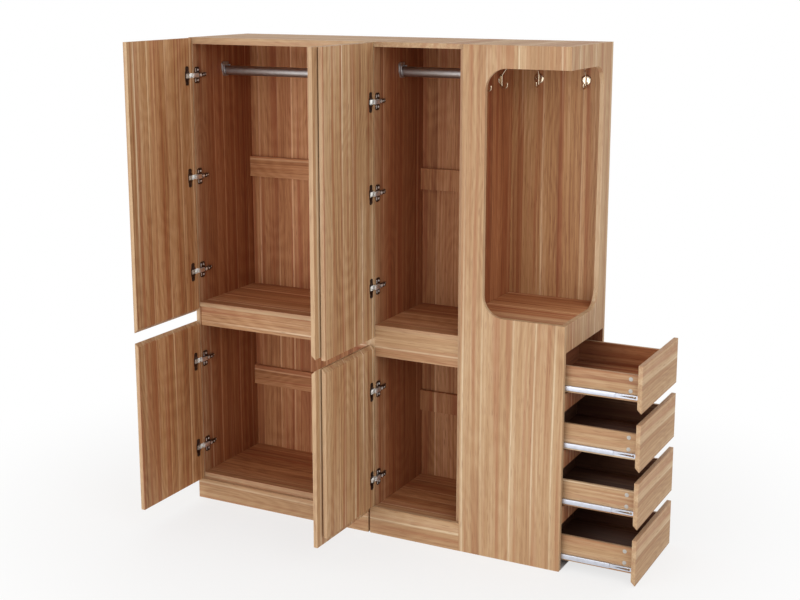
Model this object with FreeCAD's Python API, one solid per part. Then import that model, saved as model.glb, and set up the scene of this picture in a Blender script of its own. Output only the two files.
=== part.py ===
import FreeCAD, Part
import math
import os

from FreeCAD import Vector

# Three-door wardrobe with an open corner niche and four side drawers.
# Lengths in millimetres. While building, X runs from the left end to the right, Y from the front plane to the
# back and Z up from the floor. Each part is then moved so that the middle of the footprint is the origin.

# Overall sizes
HEIGHT = 1880.0
DEPTH = 430.0
WIDTH_A = 800.0
WIDTH_B = 380.0
WIDTH_C = 400.0

# Boards
BOARD = 18.0
TOP_A = 25.0
TOP_B = 18.0
BACK = 6.0
BACK_INSET = 4.0
APRON_RECESS_A = 6.0
APRON_RECESS_B = 1.0
PLINTH_SLIT = 8.0

# Levels
PLINTH_A = 81.0
PLINTH_B = 109.0
BOTTOM_Z = 104.5
SHELF_Z = 827.0
APRON_A = 78.0
APRON_B = 103.0
BACK_BOARD = 84.0
BACK_BOARD_T = 16.0
BACK_BOARD_DROP = 590.0
BACK_BOARD_RISE = 382.0

# Door leaves
FRONT_T = 16.0
FRONT_GAP = 2.5
EDGE_GAP = 2.2
MEET_GAP = 3.0
FREE_GAP_B = 15.0
DOOR_TOP_GAP = 2.0
DOOR_LOW_GAP = 2.0
DOOR_SPLIT_UP = 790.0
DOOR_DROP_B = 10.0
FINGER = 41.0
FINGER_LAND = 1.5
OPEN_DEG = 90.0

# Concealed hinges: the pin is placed from the outer plane of the cabinet side and from the front plane
PIN_X = 8.4
PIN_Y = 5.6
PIN_R = 1.25
PIN_CLEAR = 0.05
EYE_WALL = 1.1
ARM_H = 17.0
ARM_CLEAR = 0.5
ARM_T = 8.9
NOSE_T = 5.4
NOSE_Y = 8.0
NOSE_CLEAR = 0.6
ARM_L = 72.0
NECK_T = 2.6
NECK_CLEAR = 0.55
LUG_T = 1.5
CUP_X_A = 37.0
CUP_X_B = 24.0
BORE_R = 13.0
CUP_WALL = 1.2
CUP_FIT = 0.1
FLANGE_T = 1.2
FLANGE_W = 27.0
FLANGE_H = 74.0
FLANGE_CORNER = 7.0
PLATE_T = 3.0
PLATE_START = 8.0
PLATE_L = 76.0
PLATE_H = 14.0
WING_START = 8.0
WING_W = 30.0
WING_H = 64.0

# Hinge heights, from the top edge and from the bottom edge of each leaf
HINGES_A_UPPER = ((144.0, 542.0), (168.0,))
HINGES_A_LOWER = ((161.0,), (140.0,))
HINGES_B_UPPER = ((214.0, 552.0), (193.0,))
HINGES_B_LOWER = ((178.0,), (107.0,))

# Hanging rails
RAIL_R = 19.0
RAIL_WALL = 1.5
RAIL_DROP_A = 113.0
RAIL_DROP_B = 101.0
RAIL_Y = 236.0
SOCKET_FLANGE_W = 50.0
SOCKET_FLANGE_H = 60.0
SOCKET_RISE = 6.0
SOCKET_CORNER = 12.0
SOCKET_BASE = 3.0
SOCKET_WALL = 3.0
SOCKET_LIP = 4.0
SOCKET_L = 13.0
SOCKET_FIT = 0.05

# Niche of the corner unit
NICHE_STILE = 86.0
NICHE_HEAD = 80.0
NICHE_SILL = 915.0
NICHE_ROUND = 76.0
SIDE_LOW = 815.0

# Coat hooks
HOOK_DROP = 60.0
HOOK_DISC_R = 19.0
HOOK_DISC_T = 4.0
HOOK_BAR_W = 6.0
HOOK_BAR_T = 5.0
HOOK_BEND = 8.5
HOOK_UP = 17.0
HOOK_DOWN = 20.0
HOOK_TIP = 8.0
HOOK_PRONG_OUT = 30.0
HOOK_PRONG_UP = 44.0
HOOK_SPREAD_SIDE = 75.0
HOOK_SPREAD_REAR = 92.0
HOOK_SHIFT_REAR = 15.0

# Drawers
DRAWERS = 4
DRAWER_REVEAL = 6.0
DRAWER_FLOOR = 4.5
DRAWER_FINGER = 41.5
DRAWER_EDGE = 1.5
DRAWER_OPEN = 267.0
BOX_T = 12.0
BOX_H = 96.0
BOX_DROP = 42.0
BOX_BACK_GAP = 18.0
BOX_BOTTOM = 6.0
BOX_BOTTOM_UP = 8.0

# Telescopic slides
SLIDE_W = 12.7
SLIDE_H = 22.0
SLIDE_DROP = 79.0
SLIDE_BACK = 30.0
SLIDE_FRONT = 2.0
SLIDE_SHEET = 1.2
SLIDE_PLAY = 0.5
SLIDE_GAP = 0.8
SLIDE_RATIO = 0.69

# Sizes that follow from the ones above
WIDTH = WIDTH_A + WIDTH_B + WIDTH_C
FACE_Y = FRONT_T + FRONT_GAP
BACK_Y = DEPTH - BACK_INSET - BACK
X_B = WIDTH_A
X_C = WIDTH_A + WIDTH_B
DOOR_SPLIT_LOW = DOOR_SPLIT_UP - FINGER

# Hinge geometry: the arm's nose stands just clear of the opened leaf, the neck just clear of the side's edge
EYE_R = PIN_R + PIN_CLEAR + EYE_WALL
EYE_CORNER = EYE_R * (1 - math.tan(math.pi / 8))
EYE_OUT = EYE_R / math.cos(math.pi / 8)
POCKET_Y = PIN_Y - EYE_OUT - ARM_CLEAR
NOSE_X = PIN_X + FRONT_T - PIN_Y + FLANGE_T + NOSE_CLEAR
CORNER_X = BOARD - PIN_X
CORNER_Y = FACE_Y - PIN_Y
CORNER_R = math.hypot(CORNER_X, CORNER_Y)
NECK_ANGLE = math.atan2(CORNER_Y, CORNER_X) - math.asin((NECK_T / 2 + NECK_CLEAR) / CORNER_R)
NECK_L = (CORNER_Y + NECK_CLEAR) / math.sin(NECK_ANGLE)
SLOT_H = ARM_H + 2 * ARM_CLEAR
LUG_H = SLOT_H + 2 * LUG_T


def box(x0, x1, y0, y1, z0, z1):
    return Part.makeBox(x1 - x0, y1 - y0, z1 - z0, Vector(x0, y0, z0))


def rod(start, end, radius):
    line = end.sub(start)
    return Part.makeCylinder(radius, line.Length, start, line)


def extrude(points, along):
    wire = Part.makePolygon(points + [points[0]])
    return Part.Face(wire).extrude(along)


def save(name, solids):
    shape = Part.makeCompound(solids) if len(solids) > 1 else solids[0].copy()
    shape.translate(Vector(-WIDTH / 2, -DEPTH / 2, 0))
    shape.exportStep("parts/%s.step" % name)


def mirror_x(shape, x):
    return shape.mirror(Vector(x, 0, 0), Vector(1, 0, 0))


def mirror_y(shape, y):
    return shape.mirror(Vector(0, y, 0), Vector(0, 1, 0))


def hinge_heights(places, low, high):
    from_top, from_bottom = places
    return [high - drop for drop in from_top] + [low + rise for rise in from_bottom]


def chamfered(width, height, corner):
    """Rectangle about the origin with cut corners, as a list of points."""
    w = width / 2
    h = height / 2
    return [
        (-w + corner, -h),
        (w - corner, -h),
        (w, -h + corner),
        (w, h - corner),
        (w - corner, h),
        (-w + corner, h),
        (-w, h - corner),
        (-w, -h + corner),
    ]


def cabinet(tag, x0, width, top_t, plinth, apron_h, apron_recess):
    """Boards of one door cabinet. plinth is the height and the two ends of its plinth."""
    x1 = x0 + width
    inner0 = x0 + BOARD
    inner1 = x1 - BOARD
    under = HEIGHT - top_t
    save(tag + "_side_left", [box(x0, inner0, FACE_Y, DEPTH, 0, under)])
    save(tag + "_side_right", [box(inner1, x1, FACE_Y, DEPTH, 0, under)])
    save(tag + "_top", [box(x0, x1, FACE_Y, DEPTH, under, HEIGHT)])
    save(tag + "_shelf", [box(inner0, inner1, FACE_Y, BACK_Y, SHELF_Z - BOARD, SHELF_Z)])
    apron_y = FACE_Y + apron_recess
    apron_top = SHELF_Z - BOARD
    save(tag + "_apron", [box(inner0, inner1, apron_y, apron_y + BOARD, apron_top - apron_h, apron_top)])
    save(tag + "_bottom", [box(inner0, inner1, FACE_Y, BACK_Y, BOTTOM_Z - BOARD, BOTTOM_Z)])
    plinth_h, plinth_x0, plinth_x1 = plinth
    save(tag + "_plinth", [box(plinth_x0, plinth_x1, 0, FACE_Y, 0, plinth_h)])
    save(tag + "_back", [box(inner0, inner1, BACK_Y, BACK_Y + BACK, 0, under)])
    boards = []
    for z in (HEIGHT - BACK_BOARD_DROP, BACK_BOARD_RISE):
        boards.append(box(inner0, inner1, BACK_Y - BACK_BOARD_T, BACK_Y, z, z + BACK_BOARD))
    return boards


def rail_and_sockets(x0, width, z):
    """Hanging tube lying in two U-shaped end sockets, its axis at the height z."""
    left = Vector(x0 + BOARD, RAIL_Y, z)
    right = Vector(x0 + width - BOARD, RAIL_Y, z)
    step = Vector(1, 0, 0)
    start = left + step * (SOCKET_BASE + SOCKET_FIT)
    end = right - step * (SOCKET_BASE + SOCKET_FIT)
    tube = rod(start, end, RAIL_R).cut(rod(start, end, RAIL_R - RAIL_WALL))
    inner = RAIL_R + SOCKET_FIT
    outer = inner + SOCKET_WALL
    outline = chamfered(SOCKET_FLANGE_W, SOCKET_FLANGE_H, SOCKET_CORNER)
    sockets = []
    for wall, way in ((left, step), (right, step * -1)):
        base = extrude([wall + Vector(0, y, SOCKET_RISE + dz) for y, dz in outline], way * SOCKET_BASE)
        seat = wall + way * SOCKET_BASE
        rim = wall + way * SOCKET_L
        near, far = sorted((seat.x, rim.x))
        saddle = box(near, far, RAIL_Y - outer, RAIL_Y + outer, z - outer, z + inner + SOCKET_LIP)
        mouth = box(near, far, RAIL_Y - inner, RAIL_Y + inner, z, z + inner + SOCKET_LIP)
        saddle = saddle.cut(rod(seat, rim, inner)).cut(mouth)
        sockets.append(base.fuse(saddle).removeSplitter())
    return tube, sockets


def door_panel(x0, x1, z0, z1, bevelled_end):
    """Door leaf in the closed pose, with a bevelled finger edge along one end or none."""
    slope = FRONT_T - FINGER_LAND
    if bevelled_end == "bottom":
        outline = [(0, z0), (FINGER_LAND, z0), (FRONT_T, z0 + slope), (FRONT_T, z1), (0, z1)]
    elif bevelled_end == "top":
        outline = [(0, z0), (FRONT_T, z0), (FRONT_T, z1 - slope), (FINGER_LAND, z1), (0, z1)]
    else:
        outline = [(0, z0), (FRONT_T, z0), (FRONT_T, z1), (0, z1)]
    return extrude([Vector(x0, y, z) for y, z in outline], Vector(x1 - x0, 0, 0))


def hinge_pocket(x, cup_x, z):
    """Round bore for the cup at cup_x and a mortise for its lugs, open to the edge of the leaf."""
    half = LUG_H / 2 + CUP_FIT
    bore = rod(Vector(cup_x, POCKET_Y, z), Vector(cup_x, FRONT_T, z), BORE_R)
    mortise = box(x, cup_x, POCKET_Y, FRONT_T, z - half, z + half)
    return bore.fuse(mortise).removeSplitter()


def hinge_cup(x, cup_x, z):
    """Cup block with its flange, arm slot, lugs and pin, in the closed pose."""
    floor_y = POCKET_Y + CUP_FIT
    reach = math.sqrt((BORE_R - CUP_FIT) ** 2 - (LUG_H / 2) ** 2)
    low = z - LUG_H / 2
    high = z + LUG_H / 2
    block = box(x + PIN_X - EYE_OUT, cup_x + reach, floor_y, FRONT_T, low, high)
    outline = chamfered(FLANGE_W, FLANGE_H, FLANGE_CORNER)
    ears = [Vector(cup_x + dx, FRONT_T, z + dz) for dx, dz in outline]
    flange = extrude(ears, Vector(0, FLANGE_T, 0))
    slot_low = z - SLOT_H / 2
    slot_high = z + SLOT_H / 2
    far = cup_x + reach - CUP_WALL
    slot = box(x, far, floor_y + CUP_WALL, FRONT_T + FLANGE_T, slot_low, slot_high)
    eye_room = box(x, x + PIN_X + EYE_OUT + NECK_T, 0, FRONT_T, slot_low, slot_high)
    pin = Part.makeCylinder(PIN_R, LUG_H, Vector(x + PIN_X, PIN_Y, low))
    return block.fuse(flange).cut(slot).cut(eye_room).fuse(pin).removeSplitter()


def hinge_mount(x, z):
    """Arm with its eye, and the cross plate that is screwed to the cabinet side."""
    along = Vector(math.cos(NECK_ANGLE), math.sin(NECK_ANGLE), 0)
    across = Vector(-along.y, along.x, 0)
    low = z - ARM_H / 2
    tall = Vector(0, 0, ARM_H)
    pivot = Vector(x + PIN_X, PIN_Y, low)
    side = across * (NECK_T / 2)
    end = pivot + along * NECK_L
    neck = extrude([pivot - side, end - side, end + side, pivot + side], tall)
    knuckle = chamfered(2 * EYE_R, 2 * EYE_R, EYE_CORNER)
    eye = extrude([pivot + along * dx + across * dy for dx, dy in knuckle], tall)
    hole = Part.makeCylinder(PIN_R + PIN_CLEAR, ARM_H, pivot)
    wall = x + BOARD
    plate_x = wall + PLATE_T
    nose_x = x + NOSE_X
    arm_y = FACE_Y + NECK_CLEAR
    outline = [
        (nose_x, NOSE_Y),
        (nose_x + NOSE_T, NOSE_Y),
        (nose_x + ARM_T, arm_y),
        (nose_x + ARM_T, arm_y + ARM_L),
        (plate_x, arm_y + ARM_L),
        (plate_x, arm_y + NECK_T),
        (nose_x, arm_y),
    ]
    arm = extrude([Vector(px, py, low) for px, py in outline], tall)
    plate_y = FACE_Y + PLATE_START
    bar = box(wall, plate_x, plate_y, plate_y + PLATE_L, z - PLATE_H / 2, z + PLATE_H / 2)
    wing_y = FACE_Y + WING_START
    wings = box(wall, plate_x, wing_y, wing_y + WING_W, z - WING_H / 2, z + WING_H / 2)
    return arm.fuse([neck, eye, bar, wings]).cut(hole).removeSplitter()


def door_set(x, width, z0, z1, bevelled_end, cup, places):
    """Opened door leaf, its hinge cups and the hinge mounts, hinged at the outer plane X = x."""
    heights = hinge_heights(places, z0, z1)
    panel = door_panel(x + EDGE_GAP, x + width, z0, z1, bevelled_end)
    for z in heights:
        panel = panel.cut(hinge_pocket(x, x + cup, z))
    cups = [hinge_cup(x, x + cup, z) for z in heights]
    mounts = [hinge_mount(x, z) for z in heights]
    for shape in [panel] + cups:
        shape.rotate(Vector(x + PIN_X, PIN_Y, 0), Vector(0, 0, 1), -OPEN_DEG)
    return panel, cups, mounts


def niche_cut(opening, along_y, where):
    """Round the two inner corners of a niche opening."""
    chosen = []
    for edge in opening.Edges:
        ends = [vertex.Point for vertex in edge.Vertexes]
        if along_y:
            hit = all(abs(p.x - where) < 0.01 for p in ends) and abs(ends[0].y - ends[1].y) > 1
        else:
            hit = all(abs(p.y - where) < 0.01 for p in ends) and abs(ends[0].x - ends[1].x) > 1
        if hit:
            chosen.append(edge)
    return opening.makeFillet(NICHE_ROUND, chosen)


def corner_unit():
    """Panels round the niche and the drawers."""
    x0 = X_C
    x1 = X_C + WIDTH_C
    rear = DEPTH - BOARD
    side = x1 - BOARD
    head = HEIGHT - NICHE_HEAD
    front = box(x0, x1, 0, BOARD, 0, HEIGHT)
    opening = box(x0 + NICHE_STILE, x1 + 10, -10, BOARD + 10, NICHE_SILL, head)
    save("c_front", [front.cut(niche_cut(opening, True, x0 + NICHE_STILE))])
    panel = box(side, x1, BOARD, rear, SIDE_LOW, HEIGHT)
    stile_y = DEPTH - NICHE_STILE
    window = box(side - 10, x1 + 10, BOARD - 10, stile_y, NICHE_SILL, head)
    save("c_side", [panel.cut(niche_cut(window, False, stile_y))])
    save("c_wall", [box(x0, x0 + BOARD, BOARD, rear, 0, HEIGHT)])
    save("c_top", [box(x0 + BOARD, side, BOARD, rear, HEIGHT - BOARD, HEIGHT)])
    save("c_niche_floor", [box(x0 + BOARD, side, BOARD, rear, NICHE_SILL - BOARD, NICHE_SILL)])
    save("c_rear", [box(x0, x1, rear, DEPTH, 0, HEIGHT)])


def coat_hook(foot, out):
    """Round rosette with a bent flat bar: an upper prong and a lower J. out is the wall's normal."""
    up = Vector(0, 0, 1)
    across = out.cross(up)
    root = foot - across * (HOOK_BAR_W / 2)

    def at(away, rise):
        return root + out * away + up * rise

    near = HOOK_DISC_T
    bend = HOOK_BEND
    thick = HOOK_BAR_T
    middle = near + thick + bend
    lip = middle + bend
    prong_turn = math.atan2(HOOK_PRONG_UP, HOOK_PRONG_OUT)
    prong_low = HOOK_UP - thick * math.tan((math.pi / 2 - prong_turn) / 2)
    tip_away = near + HOOK_PRONG_OUT
    tip_rise = HOOK_UP + HOOK_PRONG_UP
    edges = [
        Part.makeLine(at(near, -HOOK_DOWN), at(near, HOOK_UP)),
        Part.makeLine(at(near, HOOK_UP), at(tip_away, tip_rise)),
        Part.makeLine(at(tip_away, tip_rise),
                      at(tip_away + thick * math.sin(prong_turn), tip_rise - thick * math.cos(prong_turn))),
        Part.makeLine(at(tip_away + thick * math.sin(prong_turn), tip_rise - thick * math.cos(prong_turn)),
                      at(near + thick, prong_low)),
        Part.makeLine(at(near + thick, prong_low), at(near + thick, -HOOK_DOWN)),
        Part.Arc(at(near + thick, -HOOK_DOWN), at(middle, -HOOK_DOWN - bend), at(lip, -HOOK_DOWN)).toShape(),
        Part.makeLine(at(lip, -HOOK_DOWN), at(lip, HOOK_TIP - HOOK_DOWN)),
        Part.makeLine(at(lip, HOOK_TIP - HOOK_DOWN), at(lip + thick, HOOK_TIP - HOOK_DOWN)),
        Part.makeLine(at(lip + thick, HOOK_TIP - HOOK_DOWN), at(lip + thick, -HOOK_DOWN)),
        Part.Arc(at(lip + thick, -HOOK_DOWN), at(middle, -HOOK_DOWN - bend - thick),
                 at(near, -HOOK_DOWN)).toShape(),
    ]
    bar = Part.Face(Part.Wire(edges)).extrude(across * HOOK_BAR_W)
    disc = rod(foot, foot + out * HOOK_DISC_T, HOOK_DISC_R)
    return disc.fuse(bar).removeSplitter()


def coat_hooks():
    """Two hooks on the inner wall and two on the rear wall of the niche."""
    wall_x = X_C + BOARD
    rear_y = DEPTH - BOARD
    middle_x = X_C + WIDTH_C / 2 + HOOK_SHIFT_REAR
    z = HEIGHT - NICHE_HEAD - HOOK_DROP
    hooks = []
    for sign in (-1, 1):
        side_foot = Vector(wall_x, DEPTH / 2 + sign * HOOK_SPREAD_SIDE, z)
        rear_foot = Vector(middle_x + sign * HOOK_SPREAD_REAR, rear_y, z)
        hooks.append(coat_hook(side_foot, Vector(1, 0, 0)))
        hooks.append(coat_hook(rear_foot, Vector(0, -1, 0)))
    save("coat_hooks", hooks)


def channel(x0, x1, web_y, tip_y, half, z):
    """Sheet channel along X: web at web_y, flanges reaching to tip_y."""
    way = 1 if tip_y > web_y else -1
    inner = web_y + way * SLIDE_SHEET
    thin = half - SLIDE_SHEET
    outline = [
        (web_y, -half),
        (tip_y, -half),
        (tip_y, -thin),
        (inner, -thin),
        (inner, thin),
        (tip_y, thin),
        (tip_y, half),
        (web_y, half),
    ]
    return extrude([Vector(x0, y, z + dz) for y, dz in outline], Vector(x1 - x0, 0, 0))


def slide_pair(x0, x1, web_y, tip_y, half, z):
    """The same member at the front and at the rear of a drawer."""
    member = channel(x0, x1, web_y, tip_y, half, z)
    return [member, mirror_y(member, DEPTH / 2)]


def drawers():
    """Four drawers in the pulled-out pose, with their telescopic slides."""
    x1 = X_C + WIDTH_C
    z_top = SIDE_LOW - DRAWER_REVEAL
    height = (z_top - DRAWER_FLOOR - (DRAWERS - 1) * DRAWER_FINGER) / DRAWERS
    pitch = height + DRAWER_FINGER
    slope = FRONT_T - FINGER_LAND
    near = BOARD + SLIDE_W
    far = DEPTH - near
    box_back = X_C + BOARD + BOX_BACK_GAP
    slide_x0 = X_C + BOARD + SLIDE_BACK
    slide_x1 = x1 - SLIDE_FRONT
    half = SLIDE_H / 2
    half_mid = half - SLIDE_SHEET - SLIDE_PLAY
    half_in = half_mid - SLIDE_SHEET - SLIDE_PLAY
    fixed_tip = BOARD + SLIDE_W / 2
    mid_web = BOARD + SLIDE_SHEET + SLIDE_GAP
    mid_tip = near - SLIDE_SHEET - SLIDE_GAP
    inner_tip = mid_web + SLIDE_SHEET + SLIDE_GAP
    fixed = []
    for index in range(DRAWERS):
        tag = "drawer_%d" % (index + 1)
        top = z_top - index * pitch
        low = top - height
        inner = x1 + DRAWER_EDGE
        outline = [
            (inner, low + slope),
            (inner + slope, low),
            (inner + FRONT_T, low),
            (inner + FRONT_T, top),
            (inner, top),
        ]
        across = Vector(0, DEPTH - 2 * DRAWER_EDGE, 0)
        front = extrude([Vector(x, DRAWER_EDGE, z) for x, z in outline], across)
        box_top = top - BOX_DROP
        box_low = box_top - BOX_H
        walls = [
            box(box_back, inner, near, near + BOX_T, box_low, box_top),
            box(box_back, inner, far - BOX_T, far, box_low, box_top),
            box(box_back, box_back + BOX_T, near + BOX_T, far - BOX_T, box_low, box_top),
        ]
        floor_z = box_low + BOX_BOTTOM_UP
        bottom = box(box_back + BOX_T, inner, near + BOX_T, far - BOX_T, floor_z, floor_z + BOX_BOTTOM)
        slide_z = box_top - SLIDE_DROP
        fixed += slide_pair(slide_x0, slide_x1, BOARD, fixed_tip, half, slide_z)
        mid = slide_pair(slide_x0, slide_x1, mid_web, mid_tip, half_mid, slide_z)
        members = slide_pair(slide_x0, slide_x1, near, inner_tip, half_in, slide_z)
        for shape in [front, bottom] + walls + members:
            shape.translate(Vector(DRAWER_OPEN, 0, 0))
        for shape in mid:
            shape.translate(Vector(DRAWER_OPEN * SLIDE_RATIO, 0, 0))
        save(tag + "_front", [front])
        save(tag + "_walls", walls)
        save(tag + "_bottom", [bottom])
        save(tag + "_slide_inner", members)
        save(tag + "_slide_mid", mid)
    save("slides_fixed", fixed)


def doors():
    """Three columns of an upper and a lower leaf."""
    top = HEIGHT - DOOR_TOP_GAP
    low_a = PLINTH_A + DOOR_LOW_GAP
    low_b = PLINTH_B + DOOR_LOW_GAP
    half_a = (WIDTH_A - MEET_GAP) / 2
    leaf_b = WIDTH_B - FREE_GAP_B
    mounts = []
    plans = [
        ("a", "upper", 0, half_a, DOOR_SPLIT_UP, top, "bottom", CUP_X_A, HINGES_A_UPPER),
        ("a", "lower", 0, half_a, low_a, DOOR_SPLIT_LOW, "top", CUP_X_A, HINGES_A_LOWER),
        ("b", "upper", X_B, leaf_b, DOOR_SPLIT_UP - DOOR_DROP_B, top, "plain", CUP_X_B, HINGES_B_UPPER),
        ("b", "lower", X_B, leaf_b, low_b, DOOR_SPLIT_LOW, "top", CUP_X_B, HINGES_B_LOWER),
    ]
    for tag, level, x, width, z0, z1, end, cup, places in plans:
        panel, cups, arms = door_set(x, width, z0, z1, end, cup, places)
        name = "%s_left_%s" % (tag, level)
        save("door_" + name, [panel])
        save("cups_" + name, cups)
        mounts += arms
        if tag == "a":
            name = "a_right_%s" % level
            save("door_" + name, [mirror_x(panel, WIDTH_A / 2)])
            save("cups_" + name, [mirror_x(cup, WIDTH_A / 2) for cup in cups])
            mounts += [mirror_x(arm, WIDTH_A / 2) for arm in arms]
    save("hinge_mounts", mounts)


os.makedirs("parts", exist_ok=True)
plinth_a = (PLINTH_A, 0, X_B - PLINTH_SLIT / 2)
plinth_b = (PLINTH_B, X_B + PLINTH_SLIT / 2, X_C)
boards = cabinet("a", 0, WIDTH_A, TOP_A, plinth_a, APRON_A, APRON_RECESS_A)
boards += cabinet("b", X_B, WIDTH_B, TOP_B, plinth_b, APRON_B, APRON_RECESS_B)
save("back_boards", boards)
tube_a, sockets_a = rail_and_sockets(0, WIDTH_A, HEIGHT - TOP_A - RAIL_DROP_A)
tube_b, sockets_b = rail_and_sockets(X_B, WIDTH_B, HEIGHT - TOP_B - RAIL_DROP_B)
save("hanging_rails", [tube_a, tube_b])
save("rail_sockets", sockets_a + sockets_b)
corner_unit()
coat_hooks()
drawers()
doors()
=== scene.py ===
"""Three-door wardrobe with an open corner niche and side drawers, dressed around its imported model."""

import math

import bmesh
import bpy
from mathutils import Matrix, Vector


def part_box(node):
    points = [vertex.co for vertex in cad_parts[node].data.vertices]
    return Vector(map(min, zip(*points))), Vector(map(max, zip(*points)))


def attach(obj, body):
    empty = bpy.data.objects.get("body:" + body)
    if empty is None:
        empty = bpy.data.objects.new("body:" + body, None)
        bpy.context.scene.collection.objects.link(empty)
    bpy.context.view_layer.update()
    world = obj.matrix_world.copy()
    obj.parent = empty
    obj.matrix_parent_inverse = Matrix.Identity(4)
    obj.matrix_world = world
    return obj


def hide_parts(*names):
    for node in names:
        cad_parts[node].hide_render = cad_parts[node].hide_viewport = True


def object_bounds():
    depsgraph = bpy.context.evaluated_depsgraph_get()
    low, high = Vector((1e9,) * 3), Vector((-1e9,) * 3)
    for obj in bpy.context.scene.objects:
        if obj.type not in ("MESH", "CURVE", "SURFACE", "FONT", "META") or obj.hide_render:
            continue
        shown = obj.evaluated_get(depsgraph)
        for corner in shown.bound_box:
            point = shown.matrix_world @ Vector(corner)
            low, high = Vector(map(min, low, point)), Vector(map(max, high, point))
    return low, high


bl_info = {
    "name": "Three-Door Wardrobe",
    "version": (1, 0, 0),
    "blender": (4, 5, 0),
    "location": "View3D > Sidebar > Wardrobe",
    "description": "Dresses the packed wardrobe with printed wood, hinges, rails, hooks and drawer slides",
    "category": "Object",
}

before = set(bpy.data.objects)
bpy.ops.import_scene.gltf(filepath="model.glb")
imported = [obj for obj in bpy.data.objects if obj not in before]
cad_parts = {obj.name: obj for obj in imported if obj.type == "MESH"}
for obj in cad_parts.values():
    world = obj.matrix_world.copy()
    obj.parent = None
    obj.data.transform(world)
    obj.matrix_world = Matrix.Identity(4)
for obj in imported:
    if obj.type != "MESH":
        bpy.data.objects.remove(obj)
CAD_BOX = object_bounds()

MM = 0.001
AXES = "XYZ"
UP = Vector((0, 0, 1))
LEAVES = ("a_left_upper", "a_left_lower", "a_right_upper", "a_right_lower", "b_left_upper", "b_left_lower")
DRAWERS = (1, 2, 3, 4)
BOARD_T = 18.0

# Grain of the carcass boards: the axis that the print runs along, then the axis across it
GRAIN = {
    "ZY": ("a_side_left", "a_side_right", "b_side_left", "b_side_right", "c_side", "c_wall"),
    "ZX": ("a_back", "b_back", "c_front"),
    "XY": ("a_top", "a_shelf", "b_shelf", "a_bottom", "b_bottom", "c_niche_floor"),
    "XZ": ("a_apron", "b_apron", "a_plinth", "b_plinth"),
    "YX": ("b_top", "c_top"),
}
# Tone of the print before its patterns are added, and the share of cream in the band on the cut edges
TONE_BASE = -0.21
EDGE_CREAM = 0.15
# Height on the print at which the drawer fronts start, in metres
FRONT_START = 1.165
# Distance off a face at which the room before it is tried, and the depth of the finest relief
PROBE = 5 * MM
RELIEF = 0.1 * MM
# Values between which most of a noise lies
NOISE_RANGE = {"From Min": 0.3, "From Max": 0.7}

# Metals: the property with their colour, their roughness and the strength of the lines left by rolling
METALS = {
    # Nickel-plated steel, tumbled before plating: bright from every side, with soft reflections
    "nickel_plated_steel": ("nickel", 0.5, 0.0),
    # Nickel-plated steel on the stamped flanges and plates, given a dark brownish colour as a painted
    # reflection of the dark cabinet inside, with bright edges
    "black_nickel_steel": ("dark_nickel", 0.36, 0.0),
    # Satin nickel on a drawn tube: one soft band of light along it
    "satin_nickel_tube": ("satin_nickel", 0.42, 0.0),
    # Champagne-coloured brass, polished and lacquered: clear, warm reflections
    "champagne_brass": ("brass", 0.2, 0.0),
    # Zinc-plated roll-formed sheet: pale and slightly blue, with faint lines along it
    "white_zinc_sheet": ("zinc", 0.4, 0.1),
}
# The lines are drawn at 0.6 mm, coarser than real ones, so that they show
LINES_PER_M = 1 / (0.6 * MM)
# Clouds of about 11 mm in the plating
CLOUDS_PER_M = 90.0
# Grit of the moulded caps, about 0.8 mm
GRIT_PER_M = 1200.0


def linear(hex_code):
    """Linear RGB of an sRGB hex value."""
    channels = []
    for start in (0, 2, 4):
        value = int(hex_code[start:start + 2], 16) / 255
        channels.append(value / 12.92 if value <= 0.04045 else ((value + 0.055) / 1.055) ** 2.4)
    return tuple(channels)


def colour(name, about, hex_code):
    return bpy.props.FloatVectorProperty(name=name, description=about, subtype="COLOR", size=3, min=0, max=1,
                                         default=linear(hex_code))


def length(name, about, millimetres):
    return bpy.props.FloatProperty(name=name, description=about, subtype="DISTANCE", unit="LENGTH",
                                   precision=4, default=millimetres * MM)


class WardrobeColours(bpy.types.PropertyGroup):
    wood_brown: colour("Wood brown", "Darkest streaks of the printed grain", "875434")
    wood_red: colour("Wood red", "Reddish flushes along the grain", "A0633F")
    wood_tan: colour("Wood tan", "Ground colour of the printed grain", "B69169")
    wood_pale: colour("Wood pale", "Pale streaks of the printed grain", "C6A682")
    wood_cream: colour("Wood cream", "Cream lines between the strips", "DDC9A8")
    # Painted shade: the tints below and the contrast under them darken and steepen the print on faces inside
    # the cabinets, between the opened leaves and inside the drawers, where shade falls
    inside: colour("Inside tint", "Tint of the deeper print inside the cabinets", "FFDBC1")
    leaf_inside: colour("Leaf tint", "Tint of the paired leaves' inner faces and the niche's rear", "FFECD6")
    single_leaf: colour("Single leaf tint", "Tint of the inner faces of the single leaves", "FFFAF2")
    side_painted_shade: colour("Side tint", "Tint of the inner faces of the cabinets' sides", "DAAC90")
    drawer_mouth: colour("Drawer mouth tint", "Tint inside the top drawer, behind its front", "FFCFAE")
    drawer_inside: colour("Drawer tint", "Tint inside the top drawer, at its far end", "A87C64")
    lower_drawers: bpy.props.FloatProperty(
        name="Lower drawers", description="Share of the top drawer's inside tint in the lower drawers",
        subtype="FACTOR", min=0.0, max=1.0, default=0.36)
    painted_shade_contrast: bpy.props.FloatProperty(
        name="Inside contrast", description="How much steeper the print's tones are on inner faces",
        min=1.0, max=3.0, default=1.5)
    nickel: colour("Nickel", "Hinge arms and screws", "F4F2EE")
    # Painted reflection: the dark brownish colour stands in for the dark cabinet inside seen in the nickel
    # plate
    dark_nickel: colour("Dark nickel", "Hinge flanges and mounting plates", "5C514B")
    satin_nickel: colour("Satin nickel", "Hanging rails and their sockets", "B6B4B4")
    brass: colour("Champagne brass", "Coat hooks", "D2BFA6")
    zinc: colour("White zinc", "Drawer slides", "CBCED8")
    cap: colour("Cap grey", "Plastic caps on the drawer sides", "BAB6AF")
    floor: colour("Floor", "Studio floor", "F2F1EF")


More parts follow.
